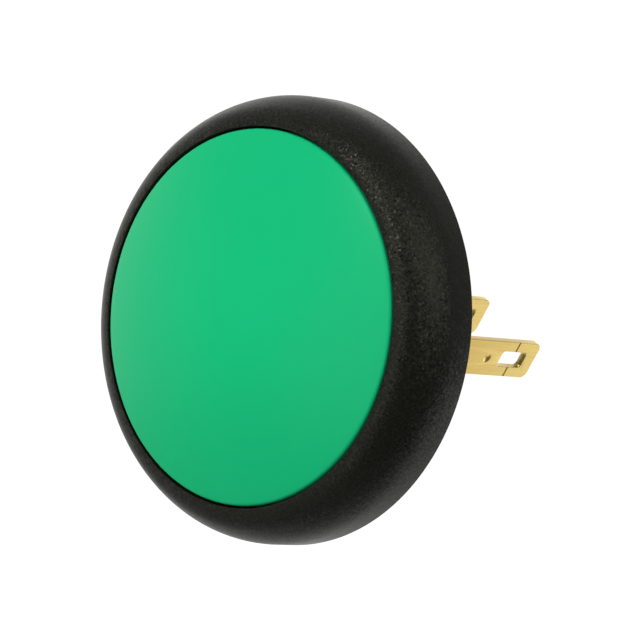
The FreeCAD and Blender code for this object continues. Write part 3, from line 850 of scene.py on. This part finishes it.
black = black_plastic()
green = green_plastic()
gold = gold_plate()
rubber = seal_rubber()
base_black = base_plastic()
brown = epoxy()
white = white_plastic()
silver = bright_metal("contact_silver", colour(0.8, 0.79, 0.76), colour(0.88, 0.87, 0.84), 0.22, 0.34, 3000)
nickel = bright_metal("nickel_plate", colour(0.66, 0.64, 0.58), colour(0.74, 0.72, 0.67), 0.2, 0.32, 1800)
steel = bright_metal("spring_steel", colour(0.48, 0.48, 0.49), colour(0.6, 0.6, 0.61), 0.24, 0.38, 4200)


def wear(piece, material):
    piece.data.materials.clear()
    piece.data.materials.append(material)


def dress(piece, body, node, material):
    wear(piece, material)
    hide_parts(node)
    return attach(piece, body)


dress(make_housing(), "housing", "housing", black)
dress(make_bushing(), "housing", "bushing", black)
dress(make_cap(), "button", "button_cap", green)
dress(make_terminal("tab_blade_right", "terminal_right"), "housing", "terminal_right", gold)
dress(make_terminal("tab_blade_left", "terminal_left"), "housing", "terminal_left", gold)
dress(make_gasket(), "housing", "panel_gasket", rubber)
dress(make_base(), "housing", "terminal_base", base_black)
dress(make_epoxy(), "housing", "epoxy_seal", brown)

RETURN_WIRE = 0.45
RETURN_TURNS = 4
CONTACT_WIRE = 0.25
CONTACT_TURNS = 3.5

return_spring = make_spring("return_coil", "return_spring", RETURN_WIRE, RETURN_TURNS)
dress(return_spring, "housing", "return_spring", steel)
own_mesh(return_spring)

contact_spring = make_spring("contact_coil", "contact_spring", CONTACT_WIRE, CONTACT_TURNS)
dress(contact_spring, "button", "contact_spring", steel)
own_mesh(contact_spring)

# Inner pieces that keep the solids' own meshes
INNER_MATERIALS = {
    "plunger": white,
    "stem_seal": rubber,
    "seal_retainer": nickel,
    "retaining_clip": steel,
    "contact_bridge": gold,
    "moving_contact_left": silver,
    "moving_contact_right": silver,
    "fixed_contact_left": silver,
    "fixed_contact_right": silver,
}
for node, material in INNER_MATERIALS.items():
    wear(nodes[node], material)


# Camera

SENSOR_WIDTH = 36.0
CLIP_START = 0.01
CLIP_END = 20

rim_centre = Vector((0, RIM * MM, 0))
photo_right = Vector((math.cos(CAMERA_AZIMUTH), math.sin(CAMERA_AZIMUTH), 0))
photo_back = Vector((
    math.sin(CAMERA_AZIMUTH) * math.cos(CAMERA_ELEVATION),
    -math.cos(CAMERA_AZIMUTH) * math.cos(CAMERA_ELEVATION),
    math.sin(CAMERA_ELEVATION),
))
view_back = TURN @ photo_back
view_right = TURN @ photo_right
view_up = view_back.cross(view_right)
half_image = PHOTO_PIXELS / 2
aim = (
    view_back * -FOCAL_PIXELS
    + view_right * (half_image - RIM_PIXEL[0])
    + view_up * (RIM_PIXEL[1] - half_image)
).normalized()
lens_right = (view_right - aim * view_right.dot(aim)).normalized()
lens_up = lens_right.cross(aim)
camera_data = bpy.data.cameras.new("camera")
camera_data.sensor_width = SENSOR_WIDTH
camera_data.lens = FOCAL_PIXELS / PHOTO_PIXELS * camera_data.sensor_width
camera_data.clip_start = CLIP_START
camera_data.clip_end = CLIP_END
camera = new_piece("camera", camera_data)
pose = Matrix((lens_right, lens_up, -aim)).transposed().to_4x4()
pose.translation = rim_centre + view_back * CAMERA_DISTANCE
camera.matrix_world = pose
bpy.context.scene.camera = camera


# Studio: a pale floor, a white backdrop and softboxes

WHITE = (1, 1, 1, 1)
FLOOR_DEPTH = -400 * MM
FLOOR_HALF = 5.0
FLOOR_COLOUR = (0.6, 0.6, 0.6, 1)
FLOOR_GLOW = 0.9
SHADE_ALONG = (-0.5, 1, 0)
SHADE_EDGE = (20 * MM, 390 * MM)
BACKDROP_LEVEL = 0.77
DARK_LEVEL = 0.06
BACKDROP_EDGE = (-0.4, 0.9)
BACKDROP_LEAN = 0.25
LAMP_DISTANCE = 0.6
# Name, azimuth and elevation in degrees, width and height in metres, and radiance
SOFTBOXES = (
    ("softbox_left", -72, 2, 0.44, 0.5, 1.0),
    ("softbox_front", 0, -4, 0.44, 0.54, 1.8),
    ("softbox_key", 4, 33, 0.18, 0.22, 11.6),
    ("softbox_side", 68, 32, 0.18, 0.22, 4.4),
    ("softbox_back", -126, 20, 0.66, 0.6, 0.9),
    ("softbox_right", 98, 16, 0.4, 0.6, 2.3),
    ("softbox_above", 32, 55, 0.14, 0.14, 7.0),
    ("softbox_low", 170, -15, 0.24, 0.2, 1.3),
)


def seen_directly(made, reflected):
    """1 for a ray from the camera, a given level for one that metal or glass sends on, and 0 for others."""
    path = made.add("ShaderNodeLightPath")
    seen = path.outputs["Is Camera Ray"]
    for kind in ("Is Glossy Ray", "Is Transmission Ray"):
        dimmed = made.maths("MULTIPLY", path.outputs[kind], reflected)
        seen = made.maths("MAXIMUM", seen, dimmed)
    return seen


def make_floor():
    """A pale floor that glows for the camera and fades, in reflections, towards the front."""
    shape = bmesh.new()
    bmesh.ops.create_grid(shape, x_segments=1, y_segments=1, size=FLOOR_HALF)
    mesh = bpy.data.meshes.new("floor")
    shape.to_mesh(mesh)
    shape.free()
    floor = new_piece("floor", mesh)
    floor.location.z = FLOOR_DEPTH
    material = bpy.data.materials.new("floor")
    material.use_nodes = True
    made = Nodes(material.node_tree)
    made.tree.nodes.clear()
    place = made.add("ShaderNodeTexCoord").outputs["Object"]
    away = made.vectors("DOT_PRODUCT", place, SHADE_ALONG).outputs["Value"]
    shade = made.spread(away, 0, 1, *SHADE_EDGE, interpolation="SMOOTHSTEP")
    level = made.maths("MULTIPLY", seen_directly(made, shade), FLOOR_GLOW)
    total = made.add("ShaderNodeAddShader")
    made.put(total.inputs[0], made.add("ShaderNodeBsdfDiffuse", Color=FLOOR_COLOUR).outputs[0])
    made.put(total.inputs[1], made.add("ShaderNodeEmission", Strength=level).outputs[0])
    made.add("ShaderNodeOutputMaterial", Surface=total.outputs[0])
    mesh.materials.append(material)


def make_world():
    """White all round for the camera; for the object, white behind it and a dark room in front."""
    world = bpy.data.worlds.new("studio")
    bpy.context.scene.world = world
    world.use_nodes = True
    made = Nodes(world.node_tree)
    made.tree.nodes.clear()
    direction = made.add("ShaderNodeTexCoord").outputs["Generated"]
    backdrop = (-view_back - view_right * BACKDROP_LEAN).normalized()
    towards = made.vectors("DOT_PRODUCT", direction, backdrop).outputs["Value"]
    shade = made.spread(towards, DARK_LEVEL, BACKDROP_LEVEL, *BACKDROP_EDGE, interpolation="SMOOTHSTEP")
    seen = made.add("ShaderNodeLightPath").outputs["Is Camera Ray"]
    sky = made.add("ShaderNodeBackground", Color=WHITE, Strength=made.maths("MAXIMUM", seen, shade))
    made.add("ShaderNodeOutputWorld", Surface=sky.outputs[0])


def add_softbox(name, azimuth, elevation, width, height, radiance):
    """A softbox aimed at the object, placed by its angles in the photograph's own frame."""
    around = math.radians(azimuth)
    up = math.radians(elevation)
    level = math.cos(up)
    towards = TURN @ Vector((math.sin(around) * level, -math.cos(around) * level, math.sin(up)))
    data = bpy.data.lights.new(name, "AREA")
    data.shape = "RECTANGLE"
    data.size = width
    data.size_y = height
    data.energy = radiance * math.pi * width * height
    lamp = new_piece(name, data)
    aimed = towards.to_track_quat("Z", "Y").to_matrix().to_4x4()
    lamp.matrix_world = Matrix.Translation(towards * LAMP_DISTANCE) @ aimed
    lamp.visible_camera = False


make_floor()
make_world()
for softbox in SOFTBOXES:
    add_softbox(*softbox)

bpy.context.scene.view_settings.view_transform = "Standard"
